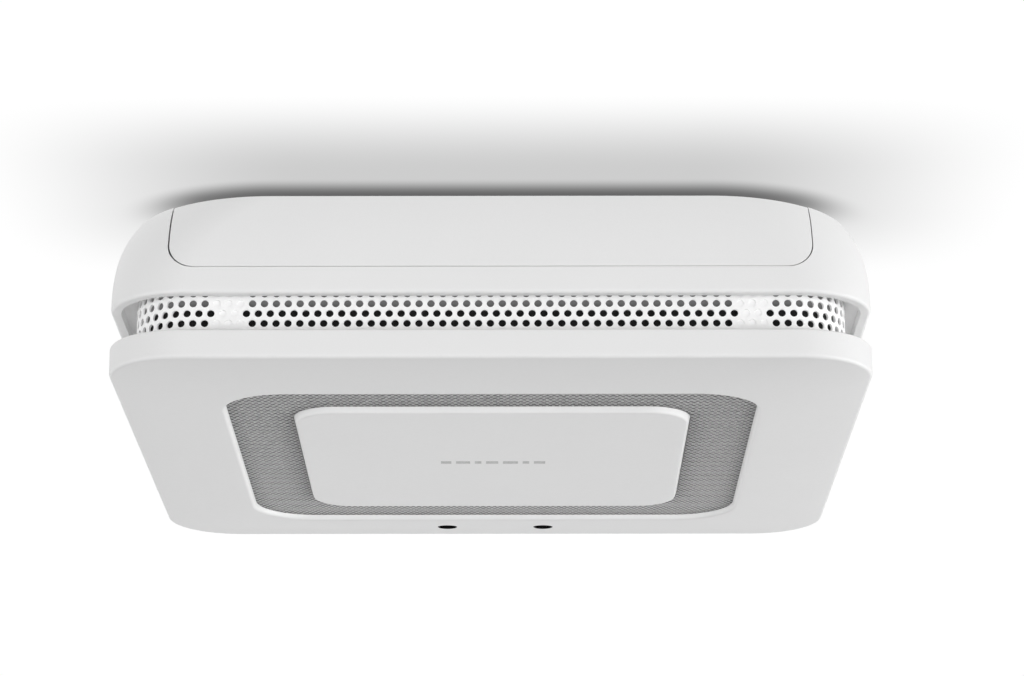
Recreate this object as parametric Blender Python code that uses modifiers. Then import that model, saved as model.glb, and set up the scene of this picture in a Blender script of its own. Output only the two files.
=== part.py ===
"""Square ceiling smoke detector, built from separate named pieces.

The ceiling is the plane z = 0 and the detector hangs below it. The release flap faces -Y and the swing
hinge is at +Y. Lengths below are in millimetres; every shape is made in metres.
"""

import math

import bmesh
import bpy
from mathutils import Matrix, Vector

MM = 0.001
CORNER_STEPS = 10

# Outer form
BODY_HALF = 75.0
BODY_CORNER = 15.6
CEILING_HALF = 72.3
CEILING_CORNER = 30.0
TAPER_POWER = 2.8
CORNER_POWER = 1.85
WALL = 2.0
HOUSING_TOP = -0.1
HOUSING_LIP = -21.0
HOUSING_FLOOR = -17.2
FLOOR_UNDERSIDE = -18.8
FRAME_LIP = -28.2
FRAME_EDGE = -34.1
FRAME_RIM = -35.62

# Ceiling plate and the hinge of the detector body
PLATE_HALF = 68.8
PLATE_CORNER = 26.0
PLATE_UNDERSIDE = -2.0
HINGE_Y = 72.0
HINGE_Z = -3.2
TONGUE_X = 40.0

# Release flap
FLAP_HALF = 62.7
FLAP_BOTTOM = -15.6
FLAP_CORNER = 5.0
FLAP_GAP = 0.5
FLAP_TOP = -0.4
FLAP_TRAVEL = 1.0
FLAP_PIN_Y = -67.5
FLAP_PIN_Z = -4.2
LATCH_X = 22.0

# Batteries
CELL_X = (30.9, 46.3)
CELL_RADIUS = 7.1
CELL_Z = -9.8
BAY_HALF_LENGTH = 29.4
CONTACT_Y = 28.2
CONTACT_THICK = 0.5

# Vent slot
VENT_HALF = 70.0
VENT_CORNER = 12.0
VENT_WALL = 0.8
VENT_TOP = -19.1
VENT_BOTTOM = -27.9
VENT_BLANK_X = 51.0
SCREEN_HALF = 67.6

# Front
OPENING_HALF = 53.7
OPENING_CORNER = 13.0
MESH_TOP = -33.75
MESH_BOTTOM = -34.15
BUTTON_HALF = 40.1
BUTTON_CORNER = 8.5
BUTTON_FACE = -35.78
BUTTON_INSIDE = -34.4
BUTTON_RIM = -33.0
PORT_X = 11.0
PORT_Y = 62.7

# Inside
CHASSIS_TOP = -30.6
CHASSIS_BOTTOM = -31.8
BOARD_TOP = -20.6
BOARD_BOTTOM = -22.2
HOUSING_SCREW = 57.0
BOARD_SCREW = 46.0
SNAP_Y = 36.0
BUTTON_SPRING = 33.0
CHAMBER_X = -21.0
CHAMBER_RADIUS = 16.2
SIREN_X = 22.4
SIREN_RADIUS = 15.0


def clear_scene():
    for thing in list(bpy.data.objects):
        bpy.data.objects.remove(thing)


def new_collection(name):
    group = bpy.data.collections.new(name)
    bpy.context.scene.collection.children.link(group)
    return group


def new_material(name, colour, roughness, metallic=0.0):
    material = bpy.data.materials.new(name)
    material.use_nodes = True
    shader = material.node_tree.nodes["Principled BSDF"]
    shader.inputs["Base Color"].default_value = (*colour, 1.0)
    shader.inputs["Roughness"].default_value = roughness
    shader.inputs["Metallic"].default_value = metallic
    material.diffuse_color = (*colour, 1.0)
    return material


def object_of(name, shape):
    """An object in metres from a mesh drawn in millimetres."""
    bmesh.ops.scale(shape, vec=(MM, MM, MM), verts=shape.verts)
    bmesh.ops.recalc_face_normals(shape, faces=shape.faces)
    mesh = bpy.data.meshes.new(name)
    shape.to_mesh(mesh)
    shape.free()
    thing = bpy.data.objects.new(name, mesh)
    bpy.context.scene.collection.objects.link(thing)
    return thing


def mesh_from_curve(holder):
    """The solid of a curve, with its caps joined to its sides."""
    bpy.context.view_layer.update()
    graph = bpy.context.evaluated_depsgraph_get()
    mesh = bpy.data.meshes.new_from_object(holder.evaluated_get(graph))
    mesh.transform(holder.matrix_world)
    name = holder.name
    bpy.data.objects.remove(holder)
    shape = bmesh.new()
    shape.from_mesh(mesh)
    bmesh.ops.remove_doubles(shape, verts=shape.verts, dist=1e-6)
    bmesh.ops.recalc_face_normals(shape, faces=shape.faces)
    shape.to_mesh(mesh)
    shape.free()
    mesh.name = name
    thing = bpy.data.objects.new(name, mesh)
    bpy.context.scene.collection.objects.link(thing)
    return thing


def rounded_rectangle(half_x, half_y, radius, centre=(0.0, 0.0), steps=CORNER_STEPS):
    points = []
    for quarter, (side_x, side_y) in enumerate(((1, 1), (-1, 1), (-1, -1), (1, -1))):
        for step in range(steps + 1):
            angle = math.radians(90.0 * (quarter + step / steps))
            x = side_x * (half_x - radius) + radius * math.cos(angle)
            y = side_y * (half_y - radius) + radius * math.sin(angle)
            points.append((centre[0] + x, centre[1] + y))
    return points


def circle(radius, centre, steps=24):
    angles = [2.0 * math.pi * step / steps for step in range(steps)]
    return [(centre[0] + radius * math.cos(a), centre[1] + radius * math.sin(a)) for a in angles]


def flat_plate(name, outlines, low, high, turn=None):
    """A body of even thickness; outlines inside another outline are openings."""
    curve = bpy.data.curves.new(name, "CURVE")
    curve.dimensions = "2D"
    curve.fill_mode = "BOTH"
    curve.extrude = (high - low) / 2.0 * MM
    for outline in outlines:
        spline = curve.splines.new("POLY")
        spline.points.add(len(outline) - 1)
        for point, (x, y) in zip(spline.points, outline):
            point.co = (x * MM, y * MM, 0.0, 1.0)
        spline.use_cyclic_u = True
    holder = bpy.data.objects.new(name, curve)
    bpy.context.scene.collection.objects.link(holder)
    lift = Matrix.Translation((0.0, 0.0, (low + high) / 2.0 * MM))
    holder.matrix_world = (turn or Matrix.Identity(4)) @ lift
    return mesh_from_curve(holder)


def loft(name, sections, ring=False):
    """A body through round-cornered squares, each given as half width, corner radius and height.

    A ring joins the last section back to the first; otherwise both ends are closed.
    """
    shape = bmesh.new()
    loops = []
    for half, radius, height in sections:
        outline = rounded_rectangle(half, half, radius)
        loops.append([shape.verts.new((x, y, height)) for x, y in outline])
    pairs = list(zip(loops, loops[1:]))
    if ring:
        pairs.append((loops[-1], loops[0]))
    for low, high in pairs:
        for a in range(len(low)):
            b = (a + 1) % len(low)
            shape.faces.new((low[a], low[b], high[b], high[a]))
    if not ring:
        shape.faces.new(loops[0])
        shape.faces.new(loops[-1])
    return object_of(name, shape)


def put_box(shape, x, y, z, turn=0.0, about=(0.0, 0.0)):
    """Adds a box between pairs of coordinates, turned about a vertical axis."""
    size = Matrix.Diagonal((x[1] - x[0], y[1] - y[0], z[1] - z[0], 1.0))
    middle = Matrix.Translation(((x[0] + x[1]) / 2.0, (y[0] + y[1]) / 2.0, (z[0] + z[1]) / 2.0))
    there = Matrix.Translation((about[0], about[1], 0.0))
    spun = there @ Matrix.Rotation(turn, 4, "Z") @ middle
    bmesh.ops.create_cube(shape, size=1.0, matrix=spun @ size)


def put_rod(shape, radius, centre, low, high, axis="Z", segments=24):
    """Adds a cylinder along an axis, between low and high on that axis."""
    middle = (low + high) / 2.0
    if axis == "Z":
        matrix = Matrix.Translation((centre[0], centre[1], middle))
    elif axis == "X":
        matrix = Matrix.Translation((middle, centre[0], centre[1])) @ Matrix.Rotation(math.pi / 2.0, 4, "Y")
    else:
        matrix = Matrix.Translation((centre[0], middle, centre[1])) @ Matrix.Rotation(math.pi / 2.0, 4, "X")
    bmesh.ops.create_cone(
        shape, cap_ends=True, segments=segments, radius1=radius, radius2=radius, depth=high - low, matrix=matrix
    )


def box(name, x, y, z):
    shape = bmesh.new()
    put_box(shape, x, y, z)
    return object_of(name, shape)


def rod(name, radius, centre, low, high, axis="Z", segments=24):
    shape = bmesh.new()
    put_rod(shape, radius, centre, low, high, axis, segments)
    return object_of(name, shape)


def lathe(name, profile, location=(0.0, 0.0, 0.0), rotation=(0.0, 0.0, 0.0), steps=32):
    """Turns a profile of radius and height about the piece's own Z axis."""
    mesh = bpy.data.meshes.new(name)
    points = [(radius * MM, 0.0, height * MM) for radius, height in profile]
    closed = profile[0][0] > 0.0
    edges = [(i, i + 1) for i in range(len(points) - 1)]
    if closed:
        edges.append((len(points) - 1, 0))
    mesh.from_pydata(points, edges, [])
    thing = bpy.data.objects.new(name, mesh)
    bpy.context.scene.collection.objects.link(thing)
    turned = thing.modifiers.new("turned", "SCREW")
    turned.axis = "Z"
    turned.steps = steps
    turned.render_steps = steps
    turned.use_merge_vertices = True
    turned.merge_threshold = 0.00001
    turned.use_smooth_shade = True
    thing.location = Vector(location) * MM
    thing.rotation_euler = rotation
    return thing


def coil(name, radius, wire, turns, low, high, matrix):
    """A wire spring along its own Z axis, carried into place by a matrix in millimetres."""
    curve = bpy.data.curves.new(name, "CURVE")
    curve.dimensions = "3D"
    curve.bevel_depth = wire * MM
    curve.bevel_resolution = 1
    curve.use_fill_caps = True
    count = int(turns * 14)
    spline = curve.splines.new("POLY")
    spline.points.add(count)
    for step, point in enumerate(spline.points):
        angle = 2.0 * math.pi * turns * step / count
        height = low + wire + (high - low - 2.0 * wire) * step / count
        place = matrix @ Vector((radius * math.cos(angle), radius * math.sin(angle), height))
        point.co = (*(place * MM), 1.0)
    holder = bpy.data.objects.new(name, curve)
    bpy.context.scene.collection.objects.link(holder)
    return mesh_from_curve(holder)


def combine(target, tool, operation):
    """Adds a Boolean step; the tool goes to the collection of helpers."""
    step = target.modifiers.new(tool.name, "BOOLEAN")
    step.operation = operation
    step.solver = "EXACT"
    step.object = tool
    tool.display_type = "WIRE"
    tool.hide_render = True
    for group in list(tool.users_collection):
        group.objects.unlink(tool)
    TOOLS.objects.link(tool)


def cut(target, tool):
    combine(target, tool, "DIFFERENCE")


def join(target, tool):
    combine(target, tool, "UNION")


def finish(thing, material, smooth=True):
    """Gives a piece its material and files it with the detector."""
    thing.data.materials.clear()
    thing.data.materials.append(material)
    if smooth:
        thing.data.shade_smooth()
        thing.data.set_sharp_from_angle(angle=math.radians(32.0))
    for group in list(thing.users_collection):
        group.objects.unlink(thing)
    DETECTOR.objects.link(thing)
    return thing


def set_origin(thing, point):
    """Moves the origin of a piece to a point in millimetres and leaves its shape where it is."""
    shift = Vector(point) * MM - thing.location
    thing.data.transform(Matrix.Translation(-shift))
    thing.location = Vector(point) * MM


def centre_origin(thing):
    corners = [Vector(corner) for corner in thing.bound_box]
    middle = sum(corners, Vector()) / 8.0
    set_origin(thing, (thing.matrix_world @ middle) / MM)


def body_section(height, inwards=0.0):
    """The outline of the upper tier at a height: half width, corner radius and that height."""
    rise = max(0.0, min(1.0, (height - HOUSING_LIP) / -HOUSING_LIP))
    half = BODY_HALF - (BODY_HALF - CEILING_HALF) * rise**TAPER_POWER
    corner = BODY_CORNER + (CEILING_CORNER - BODY_CORNER) * rise**CORNER_POWER
    return half - inwards, corner - inwards, height


def outer_form(name):
    """The closed outer form of the upper tier, with a soft edge at its lip."""
    sections = [
        (BODY_HALF - 0.7, BODY_CORNER - 0.7, HOUSING_LIP),
        (BODY_HALF - 0.2, BODY_CORNER - 0.2, HOUSING_LIP + 0.2),
        (BODY_HALF, BODY_CORNER, HOUSING_LIP + 0.7),
    ]
    rise = HOUSING_TOP - HOUSING_LIP - 0.7
    sections += [body_section(HOUSING_LIP + 0.7 + rise * step / 8.0) for step in range(1, 9)]
    return loft(name, sections)


def inner_form(name, floor):
    """The space inside the walls of the upper tier, open at the ceiling."""
    rise = 2.0 - floor
    return loft(name, [body_section(floor + rise * step / 6.0, WALL) for step in range(7)])


def flap_prism(name, gap):
    """The outline of the flap, seen from the front, carried through the near wall."""
    top = 10.0
    bottom = FLAP_BOTTOM - gap
    outline = rounded_rectangle(
        FLAP_HALF + gap, (top - bottom) / 2.0, FLAP_CORNER + gap, (0.0, (top + bottom) / 2.0)
    )
    upright = Matrix.Rotation(math.pi / 2.0, 4, "X")
    return flat_plate(name, [outline], 55.0, 85.0, upright)


def make_ceiling_plate(plastic):
    slots = [rounded_rectangle(8.0, 2.2, 2.1, (0.0, y), 4) for y in (-46.0, 46.0)]
    slots += [rounded_rectangle(2.2, 8.0, 2.1, (x, 0.0), 4) for x in (-15.0, 15.0)]
    edge = rounded_rectangle(PLATE_HALF, PLATE_HALF, PLATE_CORNER)
    plate = flat_plate("ceiling_plate", [edge, *slots], PLATE_UNDERSIDE, 0.0)
    rib = [rounded_rectangle(62.0, 62.0, 19.0), rounded_rectangle(60.8, 60.8, 17.8)]
    join(plate, flat_plate("plate_rib", rib, PLATE_UNDERSIDE - 1.2, PLATE_UNDERSIDE + 0.3))
    tongues = bmesh.new()
    ears = bmesh.new()
    for side in (-1, 1):
        across = (side * TONGUE_X - 5.0, side * TONGUE_X + 5.0)
        put_box(tongues, across, (64.0, 67.9), (-3.9, PLATE_UNDERSIDE + 0.4))
        ear = sorted((side * 31.0, side * 34.0))
        put_box(ears, ear, (-69.7, -64.3), (-6.6, PLATE_UNDERSIDE + 0.4))
    join(plate, object_of("plate_tongue_roots", tongues))
    join(plate, object_of("plate_flap_ears", ears))
    tips = bmesh.new()
    for side in (-1, 1):
        put_box(tips, (side * TONGUE_X - 5.0, side * TONGUE_X + 5.0), (66.0, 72.4), (-3.9, -2.5))
    join(plate, object_of("plate_tongue_tips", tips))
    slot_middle = FLAP_PIN_Y + FLAP_TRAVEL / 2.0
    slot = rounded_rectangle(1.3, 1.3 + FLAP_TRAVEL / 2.0, 1.29, (-FLAP_PIN_Z, slot_middle), 4)
    lying = Matrix.Rotation(math.pi / 2.0, 4, "Y")
    cut(plate, flat_plate("plate_ear_slots", [slot], -36.0, 36.0, lying))
    return finish(plate, plastic)


def make_release_flap(plastic):
    flap = outer_form("release_flap")
    cut(flap, inner_form("flap_inside", -25.0))
    combine(flap, flap_prism("flap_outline", -FLAP_GAP / 2.0), "INTERSECT")
    arms = bmesh.new()
    hooks = bmesh.new()
    noses = bmesh.new()
    for side in (-1, 1):
        across = (side * LATCH_X - 4.0, side * LATCH_X + 4.0)
        put_box(arms, sorted((side * 34.6, side * 37.0)), (-72.2, -66.1), (-5.8, -2.6))
        put_box(arms, across, (-73.4, -64.6), (-13.4, -11.8))
        put_box(hooks, across, (-65.3, -64.1), (-19.9, -12.4))
        put_box(noses, across, (-65.6, -64.8), (-19.9, -19.1))
    join(flap, object_of("flap_arms", arms))
    join(flap, object_of("flap_latches", hooks))
    join(flap, object_of("flap_noses", noses))
    pins = bmesh.new()
    for side in (-1, 1):
        ends = sorted((side * 31.2, side * 35.4))
        put_rod(pins, 1.0, (FLAP_PIN_Y, FLAP_PIN_Z), *ends, "X", 16)
    join(flap, object_of("flap_pins", pins))
    cut(flap, box("flap_top_trim", (-80.0, 80.0), (-80.0, -55.0), (FLAP_TOP, 5.0)))
    return finish(flap, plastic)


def make_rear_housing(plastic):
    housing = outer_form("rear_housing")
    cut(housing, inner_form("housing_inside", HOUSING_FLOOR))
    skirt = rounded_rectangle(BODY_HALF - WALL, BODY_HALF - WALL, BODY_CORNER - WALL)
    cut(housing, flat_plate("housing_recess", [skirt], HOUSING_LIP - 2.0, FLOOR_UNDERSIDE))
    cut(housing, flap_prism("housing_notch", FLAP_GAP / 2.0))
    windows = bmesh.new()
    for side in (-1, 1):
        put_box(windows, (side * TONGUE_X - 5.6, side * TONGUE_X + 5.6), (66.0, 80.0), (-4.7, -1.6))
    cut(housing, object_of("housing_hinge_windows", windows))
    bays = []
    low_x, high_x = 21.9, 55.3
    for side in (-1, 1):
        centre = (side * (low_x + high_x) / 2.0, 0.0)
        half = (high_x - low_x) / 2.0
        bays.append(rounded_rectangle(half, BAY_HALF_LENGTH + 1.2, 1.6, centre, 2))
        bays.append(rounded_rectangle(half - 1.2, BAY_HALF_LENGTH, 0.5, centre, 2))
    join(housing, flat_plate("housing_bays", bays, HOUSING_FLOOR - 0.5, -7.4))
    holes = bmesh.new()
    for x in (-HOUSING_SCREW, HOUSING_SCREW):
        for y in (-HOUSING_SCREW, HOUSING_SCREW):
            put_rod(holes, 1.7, (x, y), -20.0, -16.0, segments=16)
    for side in (-1, 1):
        put_box(holes, (side * LATCH_X - 5.0, side * LATCH_X + 5.0), (-66.2, -62.7), (-20.0, -16.0))
        for x in CELL_X:
            put_box(holes, (side * x - 1.5, side * x + 1.5), (27.7, 29.2), (-20.0, -16.0))
    cut(housing, object_of("housing_floor_holes", holes))
    return finish(housing, plastic)


def make_cell(name, x, facing, sleeve):
    """A round battery cell along Y, its raised end towards facing."""
    profile = [
        (0.0, 25.85), (2.75, 25.85), (2.75, 24.65), (6.6, 24.65), (CELL_RADIUS, 24.2),
        (CELL_RADIUS, -24.2), (6.6, -24.65), (0.0, -24.65),
    ]
    turn = (-facing * math.pi / 2.0, 0.0, 0.0)
    cell = lathe(name, profile, (x, facing * 2.05, CELL_Z), turn, 28)
    return finish(cell, sleeve, smooth=False)


def make_flat_contact(name, x, metal):
    contact = box(name, (x - 5.5, x + 5.5), (CONTACT_Y, CONTACT_Y + CONTACT_THICK), (-15.2, -4.6))
    leg = (CONTACT_Y, CONTACT_Y + CONTACT_THICK)
    join(contact, box(name + "_leg", (x - 1.0, x + 1.0), leg, (BOARD_TOP + 0.3, -15.0)))
    return finish(contact, metal, smooth=False)


def make_spring_contact(name, x, metal):
    contact = make_flat_contact(name, x, metal)
    place = Matrix.Translation((x, 0.0, CELL_Z)) @ Matrix.Rotation(-math.pi / 2.0, 4, "X")
    join(contact, coil(name + "_coil", 3.0, 0.35, 3.5, 22.9, CONTACT_Y + 0.4, place))
    return contact


def make_bridge(name, side, metal):
    middle = side * sum(CELL_X) / 2.0
    near = (-CONTACT_Y - CONTACT_THICK, -CONTACT_Y)
    bridge = box(name, (middle - 13.2, middle + 13.2), near, (-15.2, -4.6))
    place = Matrix.Translation((side * CELL_X[1], 0.0, CELL_Z)) @ Matrix.Rotation(math.pi / 2.0, 4, "X")
    join(bridge, coil(name + "_coil", 3.0, 0.35, 3.5, 22.9, CONTACT_Y + 0.4, place))
    return finish(bridge, metal, smooth=False)


def make_vent_ring(plastic):
    outer = rounded_rectangle(VENT_HALF, VENT_HALF, VENT_CORNER)
    inside = VENT_HALF - VENT_WALL
    inner = rounded_rectangle(inside, inside, VENT_CORNER - VENT_WALL)
    ring = flat_plate("vent_ring", [outer, inner], VENT_BOTTOM, VENT_TOP)
    along_y = bmesh.new()
    along_x = bmesh.new()
    for step in range(-4, 5):
        bar = (step * 9.6 - 3.7, step * 9.6 + 3.7)
        put_box(along_y, bar, (-80.0, 80.0), (-26.6, -20.4))
        put_box(along_x, (-80.0, 80.0), bar, (-26.6, -20.4))
    cut(ring, object_of("vent_windows_near_far", along_y))
    cut(ring, object_of("vent_windows_sides", along_x))
    posts = bmesh.new()
    for turn in range(4):
        for side in (-1, 1):
            across = (side * VENT_BLANK_X - 3.0, side * VENT_BLANK_X + 3.0)
            span = (-inside - 0.4, -inside + 0.8)
            put_box(posts, across, span, (VENT_BOTTOM, VENT_TOP), turn * math.pi / 2.0)
    join(ring, object_of("vent_posts", posts))
    return finish(ring, plastic)


def make_vent_screen(cloth):
    outer = rounded_rectangle(SCREEN_HALF, SCREEN_HALF, 9.6)
    inner = rounded_rectangle(SCREEN_HALF - 0.6, SCREEN_HALF - 0.6, 9.0)
    return finish(flat_plate("vent_screen", [outer, inner], VENT_BOTTOM, VENT_TOP), cloth)


def make_front_frame(plastic):
    """Front plate: lip, side, soft edge, crowned face, rim and wall of the opening, then the inside."""
    rim = OPENING_HALF
    corner = OPENING_CORNER
    sections = [
        (65.6, 9.0, FRAME_LIP),
        (BODY_HALF - 0.5, BODY_CORNER - 0.5, FRAME_LIP),
        (BODY_HALF - 0.12, BODY_CORNER - 0.12, FRAME_LIP - 0.15),
        (BODY_HALF, BODY_CORNER, FRAME_LIP - 0.5),
        (BODY_HALF, BODY_CORNER, FRAME_EDGE + 0.8),
        (BODY_HALF - 0.2, BODY_CORNER - 0.2, FRAME_EDGE + 0.3),
        (BODY_HALF - 0.8, BODY_CORNER - 0.6, FRAME_EDGE - 0.05),
        (71.0, 16.2, FRAME_EDGE - 0.42),
        (66.0, 15.4, FRAME_EDGE - 0.84),
        (60.0, 14.2, FRAME_EDGE - 1.25),
        (rim + 1.4, corner + 0.7, FRAME_RIM + 0.02),
        (rim + 0.5, corner + 0.3, FRAME_RIM),
        (rim, corner, FRAME_RIM + 0.3),
        (rim - 0.45, corner - 0.4, -34.45),
        (rim + 1.5, corner + 1.0, -34.45),
        (rim + 1.5, corner + 1.0, -33.4),
        (70.0, 14.0, -32.5),
        (BODY_HALF - WALL, BODY_CORNER - WALL, -32.0),
        (BODY_HALF - WALL, BODY_CORNER - WALL, -29.8),
        (65.6, 9.0, -29.8),
    ]
    frame = loft("front_frame", sections, ring=True)
    bosses = bmesh.new()
    holes = bmesh.new()
    for x in (-HOUSING_SCREW, HOUSING_SCREW):
        for y in (-HOUSING_SCREW, HOUSING_SCREW):
            put_rod(bosses, 3.5, (x, y), -34.4, FLOOR_UNDERSIDE - 0.3)
            put_rod(holes, 1.6, (x, y), -28.6, -18.0, segments=16)
    join(frame, object_of("frame_bosses", bosses))
    for x in (-PORT_X, PORT_X):
        put_rod(holes, 2.1, (x, PORT_Y), -37.0, -31.0)
    cut(frame, object_of("frame_holes", holes))
    return finish(frame, plastic)


def make_grille_mesh(metal):
    outer = rounded_rectangle(OPENING_HALF + 1.2, OPENING_HALF + 1.2, OPENING_CORNER + 0.7)
    inner = rounded_rectangle(BUTTON_HALF + 0.5, BUTTON_HALF + 0.5, BUTTON_CORNER + 0.5)
    return finish(flat_plate("grille_mesh", [outer, inner], MESH_BOTTOM, MESH_TOP), metal)


def make_inner_chassis(plastic):
    openings = [rounded_rectangle(62.5, 62.5, 6.0)]
    openings.append(circle(CHAMBER_RADIUS + 0.8, (CHAMBER_X, 0.0), 40))
    openings.append(circle(SIREN_RADIUS + 0.8, (SIREN_X, 0.0), 40))
    openings.append(circle(3.2, (0.0, 0.0)))
    for side in (-1, 1):
        openings.append(rounded_rectangle(4.0, 1.1, 0.4, (0.0, side * SNAP_Y), 2))
        for boss_y in (-HOUSING_SCREW, HOUSING_SCREW):
            openings.append(circle(4.1, (side * HOUSING_SCREW, boss_y)))
    chassis = flat_plate("inner_chassis", openings, CHASSIS_BOTTOM, CHASSIS_TOP)
    ribs = [
        rounded_rectangle(54.2, 54.2, 13.2),
        rounded_rectangle(52.8, 52.8, 11.8),
        rounded_rectangle(42.6, 42.6, 10.6),
        rounded_rectangle(41.4, 41.4, 9.4),
    ]
    join(chassis, flat_plate("chassis_ribs", ribs, MESH_TOP + 0.3, CHASSIS_BOTTOM + 0.3))
    windows = bmesh.new()
    for turn in range(4):
        for side in (-1, 1):
            across = (side * 18.0 - 16.0, side * 18.0 + 16.0)
            put_box(windows, across, (43.4, 51.8), (-36.0, -29.0), turn * math.pi / 2.0)
    for x in (-PORT_X, PORT_X):
        put_box(windows, (x - 2.4, x + 2.4), (60.4, 64.0), (-36.0, -29.0))
    cut(chassis, object_of("chassis_windows", windows))
    posts = bmesh.new()
    holes = bmesh.new()
    for x in (-BOARD_SCREW, BOARD_SCREW):
        for y in (-BOARD_SCREW, BOARD_SCREW):
            put_rod(posts, 2.6, (x, y), CHASSIS_TOP - 0.3, BOARD_BOTTOM - 0.3, segments=20)
            put_rod(holes, 1.1, (x, y), CHASSIS_TOP + 0.3, BOARD_BOTTOM + 1.0, segments=12)
    join(chassis, object_of("chassis_posts", posts))
    cut(chassis, object_of("chassis_post_holes", holes))
    return finish(chassis, plastic)


def make_main_board(laminate):
    board = flat_plate("main_board", [rounded_rectangle(56.0, 56.0, 3.0)], BOARD_BOTTOM, BOARD_TOP)
    join(board, box("board_tab", (-16.0, 16.0), (55.0, 64.6), (BOARD_BOTTOM, BOARD_TOP)))
    holes = bmesh.new()
    for x in (-1, 1):
        for y in (-1, 1):
            put_rod(holes, 4.6, (x * HOUSING_SCREW, y * HOUSING_SCREW), -23.0, -20.0)
            put_rod(holes, 1.1, (x * BOARD_SCREW, y * BOARD_SCREW), -23.0, -20.0, segments=12)
    cut(board, object_of("board_holes", holes))
    return finish(board, laminate, smooth=False)


def make_board_parts(black, shield, metal, white, can):
    """The larger components on the room side of the board, each a little clear of it."""
    top = BOARD_BOTTOM - 0.3
    finish(box("microcontroller", (-11.0, -1.0), (-31.0, -21.0), (top - 1.0, top)), black, False)
    finish(box("radio_module", (-41.0, -23.0), (-40.0, -26.0), (top - 2.4, top)), shield, False)
    antenna = box("antenna", (-44.0, -22.0), (-50.6, -50.0), (top - 4.5, top - 1.2))
    join(antenna, box("antenna_foot", (-23.0, -22.0), (-50.6, -47.8), (top - 4.5, top)))
    finish(antenna, metal, False)
    finish(box("humidity_sensor", (-53.5, -50.5), (26.0, 29.0), (top - 0.9, top)), white, False)
    profile = [(0.0, top), (6.4, top), (6.4, top - 4.9), (6.0, top - 5.3), (1.6, top - 5.3)]
    profile += [(1.6, top - 4.9), (0.0, top - 4.9)]
    finish(lathe("gas_sensor", profile, (34.0, -34.0, 0.0)), can, False)
    for index, x in enumerate((14.0, 22.0), 1):
        profile = [(0.0, top), (2.5, top), (2.5, top - 5.2), (2.3, top - 5.4), (0.0, top - 5.4)]
        finish(lathe(f"capacitor_{index}", profile, (x, 30.0, 0.0), steps=20), can, False)
    finish(box("siren_transformer", (34.0, 41.0), (24.0, 31.0), (top - 4.6, top)), black, False)


def make_chamber(black, screen, clear, dark):
    base = lathe(
        "chamber_base",
        [(0.0, -22.5), (CHAMBER_RADIUS, -22.5), (CHAMBER_RADIUS, -23.7), (0.0, -23.7)],
        (CHAMBER_X, 0.0, 0.0), steps=40,
    )
    finish(base, black, False)
    cover = rod("labyrinth_cover", CHAMBER_RADIUS, (CHAMBER_X, 0.0), -33.2, -32.3, segments=40)
    vanes = bmesh.new()
    for step in range(14):
        angle = 2.0 * math.pi * step / 14
        foot = (CHAMBER_X + 13.0 * math.cos(angle), 13.0 * math.sin(angle))
        put_box(vanes, (-2.6, 2.6), (-0.45, 0.45), (-32.6, -24.4), angle + math.radians(50.0), foot)
    join(cover, object_of("labyrinth_vanes", vanes))
    finish(cover, black)
    rings = [circle(CHAMBER_RADIUS - inset, (CHAMBER_X, 0.0), 40) for inset in (0.4, 0.9)]
    finish(flat_plate("insect_screen", rings, -32.0, -24.0), screen)
    for name, degrees, material in (("infrared_led", 205.0, clear), ("photodiode", 70.0, dark)):
        angle = math.radians(degrees)
        profile = [(0.0, 4.4), (1.5, 4.4), (1.5, 1.2), (1.2, 0.4), (0.6, 0.0), (0.0, 0.0)]
        centre = (CHAMBER_X + 4.6 * math.cos(angle), 4.6 * math.sin(angle), -28.2)
        finish(lathe(name, profile, centre, (0.0, math.pi / 2.0, angle), 20), material, False)


def make_siren(plastic, brass):
    profile = [
        (3.0, -31.6), (12.0, -31.6), (12.0, -26.4), (14.0, -26.4), (14.0, -23.6),
        (SIREN_RADIUS, -23.6), (SIREN_RADIUS, -32.6), (3.0, -32.6),
    ]
    finish(lathe("siren_horn", profile, (SIREN_X, 0.0, 0.0), steps=40), plastic, False)
    finish(rod("siren_disc", 13.5, (SIREN_X, 0.0), -26.1, -25.6, segments=40), brass)


def make_switch(black, white):
    body = box("switch_body", (-3.1, 3.1), (-3.1, 3.1), (-28.1, BOARD_BOTTOM - 0.3))
    cut(body, rod("switch_bore", 2.1, (0.0, 0.0), -29.0, -26.2))
    finish(body, black, False)
    finish(rod("switch_plunger", 1.75, (0.0, 0.0), -29.0, -27.3), white)


def make_button_pad(plastic):
    half = BUTTON_HALF
    corner = BUTTON_CORNER
    button = loft(
        "button_pad",
        [
            (half, corner, BUTTON_RIM),
            (half, corner, BUTTON_FACE + 0.6),
            (half - 0.18, corner - 0.18, BUTTON_FACE + 0.22),
            (half - 0.6, corner - 0.5, BUTTON_FACE + 0.03),
            (half - 1.4, corner - 1.0, BUTTON_FACE),
        ],
    )
    inside = rounded_rectangle(half - 1.4, half - 1.4, corner - 1.4)
    cut(button, flat_plate("button_inside", [inside], BUTTON_INSIDE, BUTTON_RIM + 1.0))
    stems = bmesh.new()
    put_rod(stems, 2.5, (0.0, 0.0), BUTTON_INSIDE - 0.4, -29.3)
    for x in (-BUTTON_SPRING, BUTTON_SPRING):
        for y in (-BUTTON_SPRING, BUTTON_SPRING):
            put_rod(stems, 1.2, (x, y), BUTTON_INSIDE - 0.4, BUTTON_INSIDE + 1.0, segments=16)
    for side in (-1, 1):
        put_box(stems, (-3.0, 3.0), sorted((side * 35.3, side * 36.6)), (BUTTON_INSIDE - 0.4, -28.9))
    join(button, object_of("button_stems", stems))
    noses = bmesh.new()
    for side in (-1, 1):
        put_box(noses, (-3.0, 3.0), sorted((side * 36.2, side * 37.7)), (-30.3, -28.9))
    join(button, object_of("button_noses", noses))
    return finish(button, plastic)


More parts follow.
